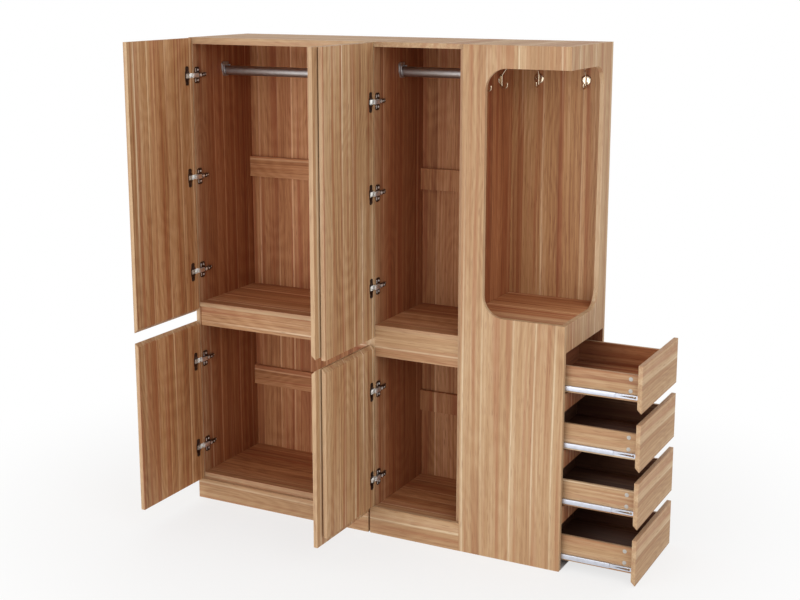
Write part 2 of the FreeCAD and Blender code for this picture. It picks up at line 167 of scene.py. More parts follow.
class WardrobeSizes(bpy.types.PropertyGroup):
    edge: length("Board edge", "Radius of the boards' edges", 0.8)
    strip: length("Strip width", "Mean distance between the cream lines of the wood print", 84.0)
    cream_line: length("Cream line", "Half width of the cream lines between strips", 5.5)
    streak: length("Streak", "Width of the streaks in the wood print", 9.0)
    fibre: length("Fibre", "Width of the fine fibres", 3.0)
    # Painted shade: length over which the painted shade on inner faces deepens behind a mouth
    depth: length("Inside depth", "Length over which the print deepens at a cabinet's mouth", 260.0)
    screw: length("Hinge screw", "Radius of the hinge screws' heads", 4.0)
    arm_edge: length("Arm edge", "Radius of the hinge arms' folds", 1.1)
    cap_radius: length("Cap radius", "Radius of the caps on the drawer sides", 7.5)
    hook_rod: length("Hook rod", "Radius of the coat hooks' rod", 3.0)
    rail_slit: length("Rail slit", "Slit between a drawer's front and the rail over it", 2.5)
    rail_room: length("Rail room", "Room between a drawer's box and the rail under it", 7.0)
    batten_back: length("Batten set-back", "Distance of the batten behind the bottom board's edge", 1.0)
    floor_size: length("Floor size", "Side of the studio floor", 16000.0)


def add(tree, kind, sockets=None, **settings):
    """Adds a shader node with its settings. A socket takes a value, or a node or output to link."""
    made = tree.nodes.new("ShaderNode" + kind)
    for key, value in settings.items():
        setattr(made, key, value)
    for key, value in (sockets or {}).items():
        if isinstance(value, bpy.types.Node):
            value = value.outputs[0]
        if isinstance(value, bpy.types.NodeSocket):
            tree.links.new(value, made.inputs[key])
        else:
            made.inputs[key].default_value = value
    return made


def blank_material(name):
    """An empty node material and its tree."""
    material = bpy.data.materials.new(name)
    material.use_nodes = True
    material.node_tree.nodes.clear()
    return material, material.node_tree


def rgba(value):
    return (value[0], value[1], value[2], 1.0)


def wood_print(name, grain, choose=None, inside=None):
    """Melamine-faced board: a printed elm grain under a hard satin film.

    The print reads as fine golden and reddish streaks along the grain, with a thin cream line every 84 mm
    or so. The film gives a weak, even sheen. On faces that look into a hollow the print is darkened and
    steepened as painted shade: inside gives the hollows, the axis and the places between which the
    painted shade's tint changes, and the tint's first and last value.
    """
    c = bpy.context.scene.wardrobe_colours
    s = bpy.context.scene.wardrobe_sizes
    material, tree = blank_material(name)
    coords = add(tree, "TexCoord")
    axes = add(tree, "SeparateXYZ", {0: coords.outputs["Object"]})
    layout = board_axes(tree, axes, grain)
    if choose:
        layout = choose(tree, axes, layout)
    # The streaks sway by a few millimetres over a metre or so of length
    sway_at = add(tree, "VectorMath", {0: layout, 1: (2.0, 2.0, 0.9)}, operation="MULTIPLY")
    sway = add(tree, "TexNoise", {"Vector": sway_at, "Scale": 1.0, "Detail": 1.0})
    shift = add(tree, "Math", {0: sway, 1: s.strip * 0.3, 2: s.strip * -0.15}, operation="MULTIPLY_ADD")
    offset = add(tree, "CombineXYZ", {0: shift})
    bent = add(tree, "VectorMath", {0: layout, 1: offset}, operation="ADD")
    # Patterns drawn out along the grain: waves per metre across it and along it, detail and roughness
    patterns = []
    for wide, long, detail, roughness in (
            # Fine fibres a third of a metre long, then streaks of more than a metre
            (1 / s.fibre, 3.0, 2.0, 0.6),
            (1 / s.streak, 0.8, 2.0, 0.55),
            # Paler and darker patches about 76 mm wide and a metre long
            (1.1 / s.strip, 1.0, 1.0, 0.5),
            # Reddish flushes 15 to 30 mm wide that run for more than a metre
            (3.6 / s.strip, 0.7, 2.0, 0.5),
            # Slow drift, about 110 mm wide and 450 mm long, that bends the flame arcs
            (9.0, 2.2, 0.0, 0.5),
            # Pores about 1 mm wide and 40 mm long, drawn a little wide so that they still show
            (550.0, 22.0, 0.0, 0.5)):
        drawn = add(tree, "VectorMath", {0: bent, 1: (wide, wide, long)}, operation="MULTIPLY")
        patterns.append(add(tree, "TexNoise", {"Vector": drawn, "Scale": 1.0, "Detail": detail,
                                               "Roughness": roughness}))
    fibre, streak, patch, flush, drift, pore = patterns
    # Strips of uneven width, each with its own tone, and the seams between them
    across = add(tree, "VectorMath", {0: bent, 1: (1 / s.strip, 0.37 / s.strip, 0)},
                 operation="DOT_PRODUCT").outputs["Value"]
    cells = {"W": across, "Scale": 1.0, "Randomness": 0.9}
    strips = add(tree, "TexVoronoi", cells, voronoi_dimensions="1D")
    seams = add(tree, "TexVoronoi", cells, voronoi_dimensions="1D", feature="DISTANCE_TO_EDGE")
    lean = add(tree, "Math", {0: across, 1: strips.outputs["W"]}, operation="SUBTRACT")
    # Flame arcs: bands about 11 mm apart that the drift bends into pointed arches
    arcs_at = add(tree, "Math", {0: drift, 1: 70.0}, operation="MULTIPLY")
    arcs = add(tree, "Math", {0: arcs_at}, operation="SINE")
    # Each pattern has its share in the tone, which picks a colour between the darkest streaks and cream
    tone = TONE_BASE
    for source, share in ((strips.outputs["Color"], 0.14), (lean, -0.12), (streak, 0.52), (fibre, 0.42),
                          (patch, 0.38), (arcs, 0.035)):
        tone = add(tree, "Math", {0: source, 1: share, 2: tone}, operation="MULTIPLY_ADD")
    ramp = add(tree, "ValToRGB", {0: tone})
    stops = ramp.color_ramp.elements
    stops[0].position, stops[1].position = 0.15, 0.95
    stops.new(0.50)
    stops.new(0.72)
    for stop, value in zip(stops, (c.wood_brown, c.wood_tan, c.wood_pale, c.wood_cream)):
        stop.color = rgba(value)
    # Where each noise starts and ends to count, and how much it gives there
    shares = []
    for noise, start, end, least, most in ((flush, 0.48, 0.64, 0.0, 0.5), (patch, 0.40, 0.62, 0.05, 0.75),
                                           (pore, 0.62, 0.76, 0.0, 0.4), (fibre, 0.3, 0.7, 0.58, 0.68)):
        shares.append(add(tree, "MapRange", {"Value": noise, "From Min": start, "From Max": end,
                                             "To Min": least, "To Max": most}))
    redness, fade, dashes, gloss = shares
    # Cream lines along the seams, which fade in and out with the patches
    line = add(tree, "MapRange", {"Value": seams, "From Max": s.cream_line / s.strip, "To Min": 1.0,
                                  "To Max": 0.0}, interpolation_type="SMOOTHSTEP")
    cream = add(tree, "Math", {0: line, 1: fade}, operation="MULTIPLY")
    # The cut edges carry a plain, paler band without cream lines
    normal = add(tree, "SeparateXYZ", {0: coords.outputs["Normal"]})
    turn = add(tree, "Math", {0: normal.outputs[through_axis(grain)]}, operation="ABSOLUTE")
    broad = add(tree, "Math", {0: turn, 1: 0.5}, operation="GREATER_THAN")
    pale = add(tree, "Mix", {0: broad, 2: EDGE_CREAM, 3: cream})
    # Flushes, cream and pores lie over the ground, in this order
    printed = ramp.outputs[0]
    for share, value in ((redness, c.wood_red), (pale, c.wood_cream), (dashes, c.wood_brown)):
        printed = add(tree, "Mix", {0: share, 6: printed, 7: rgba(value)}, data_type="RGBA").outputs[2]
    # Painted shade: on faces that look into a hollow the print's tones are steepened and darkened by a tint
    # that deepens away from the mouth
    if inside:
        hollows, (axis, start, end), first, last = inside
        ground = Vector(c.wood_tan)
        depth = add(tree, "MapRange", {"Value": axes.outputs[axis], "From Min": start, "From Max": end},
                    interpolation_type="SMOOTHSTEP")
        near, far = (rgba(ground * Vector(value)) for value in (first, last))
        tint = add(tree, "Mix", {0: depth, 6: near, 7: far}, data_type="RGBA")
        tones = add(tree, "VectorMath", {0: printed, 1: ground}, operation="DIVIDE")
        steep = add(tree, "Gamma", {"Color": tones, "Gamma": c.painted_shade_contrast})
        deeper = add(tree, "VectorMath", {0: steep, 1: tint.outputs[2]}, operation="MULTIPLY")
        inner = painted_shade_faces(tree, coords, hollows)
        printed = add(tree, "Mix", {0: inner, 6: printed, 7: deeper}, data_type="RGBA").outputs[2]
    relief = add(tree, "Bump", {"Strength": 0.25, "Distance": RELIEF, "Height": fibre})
    shader = add(tree, "BsdfPrincipled", {"Base Color": printed, "Roughness": gloss,
                                          "Normal": relief, "IOR": 1.5})
    add(tree, "OutputMaterial", {"Surface": shader})
    return material


def beyond(tree, point, low, high):
    """0 for a point inside the box between two corners, 1 or more outside it."""
    scaled = add(tree, "Mapping", {0: point, "Location": (low + high) / 2, "Scale": (high - low) / 2},
                 vector_type="TEXTURE")
    size = add(tree, "VectorMath", {0: scaled}, operation="ABSOLUTE")
    whole = add(tree, "VectorMath", {0: size}, operation="FLOOR")
    return add(tree, "VectorMath", {0: whole}, operation="LENGTH").outputs["Value"]


def painted_shade_faces(tree, coords, hollows):
    """1 on the faces that look into a hollow, which take the painted shade: a point a little off the face is
    tried in each of them.
    """
    lift = add(tree, "VectorMath", {0: coords.outputs["Normal"], "Scale": PROBE}, operation="SCALE")
    probe = add(tree, "VectorMath", {0: coords.outputs["Object"], 1: lift}, operation="ADD")
    outside = 1.0
    for low, high in hollows:
        apart = beyond(tree, probe, low, high)
        outside = add(tree, "Math", {0: apart, 1: outside}, operation="MULTIPLY")
    return add(tree, "Math", {0: outside, 1: 0.5}, operation="LESS_THAN")


def hollow(left, right, back, top):
    """Lowest and highest corner of the room between two upright boards, a back and a top."""
    return (Vector((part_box(left)[1].x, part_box(left)[0].y, 0.0)),
            Vector((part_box(right)[0].x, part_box(back)[0].y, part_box(top)[0].z)))


def painted_shade_from_mouth(rooms, tint):
    """Painted shade in rooms that open to the front: untinted before their mouth, full some way behind it."""
    depth = bpy.context.scene.wardrobe_sizes.depth
    mouth = min(low.y for low, high in rooms)
    return rooms, (1, mouth - 0.4 * depth, mouth + 0.6 * depth), (1.0, 1.0, 1.0), tint


def painted_shade_in_cabinets(tint):
    """Painted shade in the rooms inside the three cabinets and behind the drawer fronts."""
    rooms = (hollow("a_side_left", "a_side_right", "a_back", "a_top"),
             hollow("b_side_left", "b_side_right", "b_back", "b_top"),
             hollow("c_wall", "c_side", "c_rear", "c_top"),
             drawer_room())
    return painted_shade_from_mouth(rooms, tint)


def drawer_room():
    """Room behind the drawer fronts, out to a little past the faces of the rails between them, so that the
    rails' faces take painted shade too.
    """
    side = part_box("c_side")
    return (Vector((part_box("c_wall")[1].x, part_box("c_front")[1].y, 0.0)),
            Vector((side[1].x + PROBE + MM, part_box("c_rear")[0].y, side[0].z)))


def painted_shade_between_leaves(tint):
    """Painted shade on the leaves' inner faces, in the room between the opened leaves in front of each door
    cabinet.
    """
    rooms = []
    for leaf, across in (("door_a_left_upper", "door_a_right_upper"), ("door_b_left_upper", "c_front")):
        low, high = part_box(leaf)
        rooms.append((Vector((high.x, low.y, 0.0)),
                      Vector((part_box(across)[0].x, high.y + 2 * PROBE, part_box("a_top")[1].z))))
    return painted_shade_from_mouth(rooms, tint)


def painted_shade_in_drawers(first, last):
    """Painted shade in the room over the drawers' bottoms, which are alike in plan. The painted shade deepens
    away from the front.
    """
    low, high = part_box("drawer_1_bottom")
    room = (Vector((low.x, low.y, 0.0)), Vector((high.x, high.y, 1.0)))
    return [room], (0, high.x, low.x), first, last


def through_axis(grain):
    """The axis that is neither along nor across the grain."""
    return 3 - AXES.index(grain[0]) - AXES.index(grain[1])


def board_axes(tree, axes, grain):
    """Position as (across the grain, through the board, along the grain)."""
    order = (AXES.index(grain[1]), through_axis(grain), AXES.index(grain[0]))
    return add(tree, "CombineXYZ", {slot: axes.outputs[axis] for slot, axis in enumerate(order)})


def upright_right_of_middle(tree, axes, layout):
    """Cleats behind the wide cabinet have level grain, those behind the narrow one upright grain."""
    other = board_axes(tree, axes, "ZX")
    side = add(tree, "Math", {0: axes.outputs[0], 1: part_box("a_back")[1].x}, operation="GREATER_THAN")
    return add(tree, "Mix", {0: side, 4: layout, 5: other}, data_type="VECTOR").outputs[1]


def level_on_the_end_wall(tree, axes, layout):
    """The drawer's end wall faces along X, so its level grain runs along Y."""
    other = board_axes(tree, axes, "YZ")
    normal = add(tree, "TexCoord").outputs["Normal"]
    facing = add(tree, "SeparateXYZ", {0: normal})
    size = add(tree, "Math", {0: facing}, operation="ABSOLUTE")
    end = add(tree, "Math", {0: size, 1: 0.7}, operation="GREATER_THAN")
    return add(tree, "Mix", {0: end, 4: layout, 5: other}, data_type="VECTOR").outputs[1]


def same_on_each_front(tree, axes, layout):
    """The drawer fronts were cut from the same print, so each one starts it at its own lower edge."""
    low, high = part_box("drawer_1_front")
    own = add(tree, "TexCoord").outputs["Generated"]
    size = add(tree, "VectorMath", {0: own, 1: high - low, 2: (0.0, 0.0, FRONT_START)},
               operation="MULTIPLY_ADD")
    return board_axes(tree, add(tree, "SeparateXYZ", {0: size}), "YZ")


def metal(name):
    """Plated metal with a faint clouding and, on rolled sheet, fine lines along it."""
    value, roughness, lines = METALS[name]
    value = getattr(bpy.context.scene.wardrobe_colours, value)
    material, tree = blank_material(name)
    place = add(tree, "TexCoord").outputs["Object"]
    clouds = add(tree, "TexNoise", {"Vector": place, "Scale": CLOUDS_PER_M, "Detail": 3.0})
    tint = add(tree, "MapRange", {"Value": clouds, "To Min": 0.92, "To Max": 1.0, **NOISE_RANGE})
    shade = add(tree, "VectorMath", {0: tuple(value), 3: tint}, operation="SCALE")
    gloss = add(tree, "MapRange", {"Value": clouds, "To Min": roughness - 0.05,
                                   "To Max": roughness + 0.05, **NOISE_RANGE})
    sockets = {"Base Color": shade, "Metallic": 1.0, "Roughness": gloss}
    if lines:
        drawn = add(tree, "VectorMath", {0: place, 1: (8.0, LINES_PER_M, LINES_PER_M)},
                    operation="MULTIPLY")
        scratches = add(tree, "TexNoise", {"Vector": drawn, "Scale": 1.0, "Detail": 1.0})
        sockets["Normal"] = add(tree, "Bump", {"Strength": lines, "Distance": RELIEF, "Height": scratches})
    add(tree, "OutputMaterial", {"Surface": add(tree, "BsdfPrincipled", sockets)})
    return material


def cap_plastic(name):
    """Polyethylene cap, moulded: a fine matt grain and a faint clouding."""
    value = tuple(bpy.context.scene.wardrobe_colours.cap)
    material, tree = blank_material(name)
    place = add(tree, "TexCoord").outputs["Object"]
    grit = add(tree, "TexNoise", {"Vector": place, "Scale": GRIT_PER_M, "Detail": 2.0})
    shade = add(tree, "MapRange", {"Value": grit, "To Min": 0.94, "To Max": 1.0, **NOISE_RANGE})
    tint = add(tree, "VectorMath", {0: value, 3: shade}, operation="SCALE")
    relief = add(tree, "Bump", {"Strength": 0.2, "Distance": RELIEF, "Height": grit})
    shader = add(tree, "BsdfPrincipled", {"Base Color": tint, "Roughness": 0.45, "IOR": 1.5,
                                          "Normal": relief})
    add(tree, "OutputMaterial", {"Surface": shader})
    return material


def finish(name, make, *arguments):
    """The material of that name, made the first time it is asked for."""
    return bpy.data.materials.get(name) or make(name, *arguments)


def plated(*names):
    """The metals of those names."""
    return [finish(name, metal) for name in names]


def solids(node):
    """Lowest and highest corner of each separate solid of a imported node."""
    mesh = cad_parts[node].data
    keys = [tuple(round(x, 5) for x in vertex.co) for vertex in mesh.vertices]
    owner = {key: key for key in keys}

    def root(key):
        while owner[key] != key:
            owner[key] = owner[owner[key]]
            key = owner[key]
        return key

    for edge in mesh.edges:
        a, b = (root(keys[v]) for v in edge.vertices)
        owner[a] = b
    groups = {}
    for key in owner:
        groups.setdefault(root(key), []).append(key)
    boxes = []
    for points in groups.values():
        boxes.append((Vector([min(p[i] for p in points) for i in range(3)]),
                      Vector([max(p[i] for p in points) for i in range(3)])))
    return sorted(boxes, key=lambda pair: tuple(pair[0]))


# Edges over the first angle are rounded, and those over the second look sharp
RIM_ANGLE = math.radians(40)
SMOOTH_ANGLE = math.radians(35)
# Corner points of a packed board that lie closer than this are one
WELD_GAP = 0.01 * MM


def rounded(points, radii, steps=5):
    """Outline with rounded corners. radii is one radius for all corners or one for each."""
    if not isinstance(radii, (list, tuple)):
        radii = [radii] * len(points)
    outline = []
    for index, radius in enumerate(radii):
        corner = Vector(points[index])
        back = Vector(points[index - 1]) - corner
        ahead = Vector(points[(index + 1) % len(points)]) - corner
        if radius <= 0:
            outline.append(corner)
            continue
        half = back.angle(ahead) / 2
        reach = radius / math.tan(half)
        middle = corner + (back.normalized() + ahead.normalized()).normalized() * (radius / math.sin(half))
        start = corner + back.normalized() * reach - middle
        end = corner + ahead.normalized() * reach - middle
        for step in range(steps + 1):
            ray = start.lerp(end, step / steps)
            outline.append(middle + ray.normalized() * radius)
    return outline


def arc(radius, start, end, steps=20):
    """Points of an arc about the origin."""
    angles = [start + (end - start) * step / steps for step in range(steps + 1)]
    return [(radius * math.cos(angle), radius * math.sin(angle)) for angle in angles]


def prism(outline, low, high, edge=0.0):
    """Part with a flat outline, from height low to height high, its rims rounded by edge."""
    part = bmesh.new()
    base = [part.verts.new((p[0], p[1], low)) for p in outline]
    face = part.faces.new(base)
    made = bmesh.ops.extrude_face_region(part, geom=[face])
    top = [v for v in made["geom"] if isinstance(v, bmesh.types.BMVert)]
    bmesh.ops.translate(part, vec=(0, 0, high - low), verts=top)
    if edge:
        rims = [e for e in part.edges if len(e.link_faces) == 2 and e.calc_face_angle(0) > RIM_ANGLE]
        bmesh.ops.bevel(part, geom=rims, offset=edge, segments=2, profile=0.5, affect="EDGES",
                        clamp_overlap=True)
    return part


def ring(part, centre, one, two, steps):
    """Circle of points about a centre, from its two half axes."""
    angles = [2 * math.pi * step / steps for step in range(steps)]
    return [part.verts.new(centre + one * math.cos(angle) + two * math.sin(angle)) for angle in angles]


def level_ring(part, radius, height, steps):
    """Circle about the Z axis, or one point on the axis where there is no radius."""
    return ring(part, UP * height, Vector((radius, 0, 0)), Vector((0, radius, 0)), steps if radius else 1)


def join(part, rings):
    """Faces from each ring to the next. A ring of one point makes a tip."""
    for one, two in zip(rings, rings[1:]):
        for step in range(max(len(one), len(two))):
            corners = [one[step % len(one)], one[(step + 1) % len(one)],
                       two[(step + 1) % len(two)], two[step % len(two)]]
            corners = list(dict.fromkeys(corners))
            if len(corners) > 2:
                part.faces.new(corners)


def turned(profile, steps):
    """Part turned about the Z axis from (radius, height) points. A profile off the axis leaves a bore."""
    part = bmesh.new()
    rings = [level_ring(part, radius, height, steps) for radius, height in profile]
    if len(rings[0]) > 1:
        rings.append(rings[0])
    join(part, rings)
    return part


def screw_head(radius, height):
    """Pan-head screw with a cross recess, standing on the plane Z = 0."""
    part = bmesh.new()
    rings = [level_ring(part, radius * share, height * rise, 20)
             for share, rise in ((1.0, 0.0), (1.0, 0.45), (0.92, 0.8), (0.74, 1.0))]
    join(part, rings)
    part.faces.new(rings[0])
    # One arm of the cross, then the same points a quarter turn on until it is whole
    slim, long = radius * 0.13, radius * 0.52
    cross = [(slim, slim), (slim, long), (-slim, long)]
    while len(cross) < 12:
        x, y = cross[-3]
        cross.append((-y, x))
    upper = [part.verts.new((x, y, height)) for x, y in cross]
    lower = [part.verts.new((x * 0.8, y * 0.8, height * 0.35)) for x, y in cross]
    join(part, [upper, lower])
    part.faces.new(lower)
    rim = []
    for points in (rings[-1], upper):
        rim += [part.edges.get(pair) for pair in zip(points, points[1:] + points[:1])]
    bmesh.ops.triangle_fill(part, edges=rim, use_beauty=True)
    return part


def swept(points, across, radius):
    """Round rod along a flat path, with rounded ends. across is the path plane's normal."""
    part = bmesh.new()
    last = len(points) - 1
    stations = []
    for index, point in enumerate(points):
        way = (points[min(index + 1, last)] - points[max(index - 1, 0)]).normalized()
        stations.append((point, way, radius))
    first_way, last_way = stations[0][1], stations[-1][1]
    # Smaller and smaller rings close both ends in a dome
    for share in (0.92, 0.7, 0.38):
        rise = radius * math.sqrt(1 - share * share)
        stations.insert(0, (points[0] - first_way * rise, first_way, radius * share))
        stations.append((points[-1] + last_way * rise, last_way, radius * share))
    rings = [ring(part, centre, across.cross(way).normalized() * size, across * size, 14)
             for centre, way, size in stations]
    join(part, rings)
    part.faces.new(rings[0])
    part.faces.new(rings[-1])
    return part


class Piece:
    """Gathers the parts of one piece and turns them into an object."""

    def __init__(self):
        self.mould = bmesh.new()

    def take(self, part, place, finish_index=0):
        """Adds a part: place moves each of its points, in millimetres, into the row frame."""
        for vertex in part.verts:
            vertex.co = place(vertex.co)
        bmesh.ops.recalc_face_normals(part, faces=part.faces)
        for face in part.faces:
            face.material_index = finish_index
        mesh = bpy.data.meshes.new("part")
        part.to_mesh(mesh)
        part.free()
        self.mould.from_mesh(mesh)
        bpy.data.meshes.remove(mesh)

    def make(self, name, finishes, body, slot, *nodes):
        """Makes the object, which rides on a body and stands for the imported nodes."""
        mesh = bpy.data.meshes.new(name)
        self.mould.to_mesh(mesh)
        self.mould.free()
        for material in finishes:
            mesh.materials.append(material)
        mesh.shade_smooth()
        mesh.set_sharp_from_angle(angle=SMOOTH_ANGLE)
        made = bpy.data.objects.new(name, mesh)
        bpy.context.scene.collection.objects.link(made)
        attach(made, body)
        if nodes:
            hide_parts(*nodes)


def dress_board(node, label, grain, choose=None, inside=None):
    """Gives a packed board its print, painted shade on its inner faces when inside is given, and its slightly
    rounded edges.
    """
    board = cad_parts[node]
    board.material_slots[0].material = finish("wood_print_" + label, wood_print, grain, choose, inside)
    weld = board.modifiers.new("weld", "WELD")
    weld.merge_threshold = WELD_GAP
    edge = board.modifiers.new("edge", "BEVEL")
    edge.width = bpy.context.scene.wardrobe_sizes.edge
    edge.segments = 2
    edge.limit_method = "ANGLE"
    edge.angle_limit = RIM_ANGLE


class WARDROBE_OT_boards(bpy.types.Operator):
    """Print the carcass boards, paint shade on their inner faces and round their edges"""

    bl_idname = "wardrobe.boards"
    bl_label = "Carcass Boards"

    def execute(self, context):
        c = context.scene.wardrobe_colours
        for grain, nodes in GRAIN.items():
            inside = painted_shade_in_cabinets(c.side_painted_shade if grain == "ZY" else c.inside)
            for node in nodes:
                dress_board(node, grain.lower(), grain, None, inside)
        # The rear panel's painted shade is lighter in the niche than behind the drawers under its floor
        under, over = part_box("c_niche_floor")
        niche = painted_shade_in_cabinets(c.inside)[0], (2, over.z, under.z), c.leaf_inside, c.drawer_inside
        dress_board("c_rear", "niche", "ZX", None, niche)
        dress_board("back_boards", "cleats", "XZ", upright_right_of_middle, painted_shade_in_cabinets(c.inside))
        return {"FINISHED"}


class WARDROBE_OT_leaves(bpy.types.Operator):
    """Print the six door leaves, paint shade on their inner faces and round their edges"""

    bl_idname = "wardrobe.leaves"
    bl_label = "Door Leaves"

    def execute(self, context):
        c = context.scene.wardrobe_colours
        kinds = {"a": ("paired_leaves", c.leaf_inside), "b": ("single_leaves", c.single_leaf)}
        for leaf in LEAVES:
            label, tint = kinds[leaf[0]]
            dress_board("door_" + leaf, label, "ZY", None, painted_shade_between_leaves(tint))
        return {"FINISHED"}


# Concealed hinge, in millimetres: U inwards from the side's outer plane, V back from the front plane, W up
PIN = (8.4, 5.6)
PIN_R = 1.25
EYE_R = 2.4
EYE_PLAY = 0.05
CUP_U = {"a": 37.0, "b": 24.0}
CUP_HALF = 8.0
CUP_SHEET = 1.2
CUP_FLOOR_U = 13.6
LEAF_T = 16.0
FLANGE_T = 1.2
POCKET_V = 2.6
SLOT_HALF = 9.0
LUG_HALF = 10.2
# One ear of a cup's flange about the cup's middle, the radii of its corners and the place of its screw
EAR = [(-13.5, SLOT_HALF), (-13.5, 14), (-10.5, 20), (-10.5, 37), (10.5, 37), (10.5, 20), (13.5, 14)]
EAR_RADII = [0.6, 2, 3, 7, 7, 3, 2]
EAR_SCREW_W = 28.5
# Arm, its neck and its tail seen from above
ARM = [(20.6, 8.0), (26.0, 8.0), (29.5, 19.05), (29.5, 44.0), (21.0, 44.0), (21.0, 21.65), (20.6, 19.05)]
ARM_HALF = 8.5
NECK_END = (19.6, 20.2)
NECK_HALF_T = 1.3
TAIL_U = 28.6
TAIL = [(21.0, 44.6), (TAIL_U, 44.6), (TAIL_U, 82.0), (26.0, 91.05), (21.0, 91.05)]
TAIL_HALF = 7.6
# Cross plate and one of its ribs seen from inside the cabinet, as (V, W)
PLATE_U = (18.0, 21.0)
PLATE = rounded([(26.5, -32), (56.5, -32), (56.5, -7), (102.5, -7), (102.5, 7), (56.5, 7), (56.5, 32),
                 (26.5, 32)], [8, 8, 3, 6, 6, 3, 8, 8])
RIB = rounded([(28.0, 12.0), (32.0, 12.0), (32.0, 26.0), (28.0, 26.0)], 1.8)
RIB_T = 1.6
# Screws of the plate and the tail: V, W, the U that they stand on and their size against the hinge screw
PLATE_SCREWS = ((46.0, 20.0, PLATE_U[1], 1.15), (46.0, -20.0, PLATE_U[1], 1.15), (97.0, 0.0, PLATE_U[1], 0.8),
                (55.0, 0.0, TAIL_U, 1.7), (74.0, 0.0, TAIL_U, 0.8))


def hinge_places(leaf):
    """For each hinge of a leaf, the function that takes its (U, V, W) into the row frame."""
    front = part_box("a_plinth")[0].y
    if leaf.startswith("a_left"):
        plane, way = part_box("a_side_left")[0].x, 1
    elif leaf.startswith("a_right"):
        plane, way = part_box("a_side_right")[1].x, -1
    else:
        plane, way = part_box("b_side_left")[0].x, 1
    for low, high in solids("cups_" + leaf):
        height = (low.z + high.z) / 2
        yield lambda u, v, w: Vector((plane + way * u * MM, front + v * MM, height + w * MM))


class WARDROBE_OT_hinge_cups(bpy.types.Operator):
    """Make the hinge cups with their flanges, pins and screws, one group for each leaf"""

    bl_idname = "wardrobe.hinge_cups"
    bl_label = "Hinge Cups"

    def execute(self, context):
        screw = context.scene.wardrobe_sizes.screw / MM
        near = PIN[0] - EYE_R
        outline = EAR + [(u, -w) for u, w in reversed(EAR)] + [(CUP_HALF, -SLOT_HALF), (CUP_HALF, SLOT_HALF)]
        for leaf in LEAVES:
            cup = CUP_U[leaf[0]]
            far = cup + CUP_HALF
            end = far + CUP_SHEET
            flange = rounded([(u + cup, w) for u, w in outline], EAR_RADII + EAR_RADII[::-1] + [4, 4])
            wall = rounded([(near, LUG_HALF), (end, LUG_HALF), (end, -LUG_HALF), (near, -LUG_HALF),
                            (near, -SLOT_HALF), (far, -SLOT_HALF), (far, SLOT_HALF), (near, SLOT_HALF)],
                           [0, 5, 5, 0, 0, 4, 4, 0])
            floor = rounded([(CUP_FLOOR_U, -LUG_HALF), (end, -LUG_HALF), (end, LUG_HALF),
                             (CUP_FLOOR_U, LUG_HALF)], [0, 5, 5, 0])
            piece = Piece()
            for fixed in hinge_places(leaf):
                def opened(u, v, w):
                    return fixed(PIN[0] + (v - PIN[1]), PIN[1] - (u - PIN[0]), w)

                def flat(p):
                    return opened(p.x, p.z, p.y)

                piece.take(prism(flange, LEAF_T, LEAF_T + FLANGE_T, edge=0.4), flat, 0)
                piece.take(prism(wall, POCKET_V, LEAF_T), flat, 1)
                piece.take(prism(floor, POCKET_V, POCKET_V + CUP_SHEET), flat, 1)
                pin = turned([(0, -LUG_HALF), (PIN_R, -LUG_HALF), (PIN_R, LUG_HALF), (0, LUG_HALF)], 20)
                piece.take(pin, lambda p: opened(PIN[0] + p.x, PIN[1] + p.y, p.z), 1)
                for side in (-EAR_SCREW_W, EAR_SCREW_W):
                    piece.take(screw_head(screw * 0.9, 1.6),
                               lambda p: opened(cup + p.x, LEAF_T + FLANGE_T + p.z, side + p.y), 0)
            piece.make("hinge_cups_" + leaf, plated("black_nickel_steel", "nickel_plated_steel"),
                       "leaf_" + leaf, "hinge_steel", "cups_" + leaf)
        return {"FINISHED"}


class WARDROBE_OT_hinge_arms(bpy.types.Operator):
    """Make the hinge arms and their cross plates on the cabinet sides"""

    bl_idname = "wardrobe.hinge_arms"
    bl_label = "Hinge Arms"

    def execute(self, context):
        sizes = context.scene.wardrobe_sizes
        screw = sizes.screw / MM
        edge = sizes.arm_edge / MM
        bore = PIN_R + EYE_PLAY
        pin, end = Vector(PIN), Vector(NECK_END)
        aside = (end - pin).normalized().orthogonal() * NECK_HALF_T
        neck = [pin - aside, end - aside, end + aside, pin + aside]
        piece = Piece()
        for leaf in LEAVES:
            for fixed in hinge_places(leaf):
                def upright(p):
                    return fixed(p.x, p.y, p.z)

                def facing(p):
                    return fixed(p.z, p.x, p.y)

                piece.take(prism(ARM, -ARM_HALF, ARM_HALF, edge), upright, 0)
                piece.take(prism(TAIL, -TAIL_HALF, TAIL_HALF, edge), upright, 1)
                piece.take(prism(neck, -ARM_HALF, ARM_HALF, edge=0.5), upright, 0)
                eye = turned([(bore, -ARM_HALF), (EYE_R, -ARM_HALF), (EYE_R, ARM_HALF), (bore, ARM_HALF)], 24)
                piece.take(eye, lambda p: fixed(PIN[0] + p.x, PIN[1] + p.y, p.z), 0)
                piece.take(prism(PLATE, PLATE_U[0], PLATE_U[1], edge=0.6), facing, 1)
                for side in (-1, 1):
                    rib = [(v, w * side) for v, w in RIB]
                    piece.take(prism(rib, PLATE_U[1], PLATE_U[1] + RIB_T, edge=0.6), facing, 0)
                for v, w, top, size in PLATE_SCREWS:
                    piece.take(screw_head(screw * size, 1.7), lambda p: fixed(top + p.z, v + p.x, w + p.y), 0)
        piece.make("hinge_arms", plated("nickel_plated_steel", "black_nickel_steel"), "carcass",
                   "hinge_steel", "hinge_mounts")
        return {"FINISHED"}


# Hanging rails and their sockets, in millimetres. A socket's flange is drawn about the rail's middle
TUBE_T = 1.5
TUBE_RIM = 0.4
SOCKET = rounded([(-25, 36), (-25, 2), (-13, -24), (13, -24), (25, 2), (25, 36)], [11, 20, 9, 9, 20, 11])
SOCKET_T = 3.0
SOCKET_REACH = 13.0
SOCKET_RISE = 4.0
SOCKET_PLAY = 0.05
SOCKET_SCREW = (14.0, 29.0)


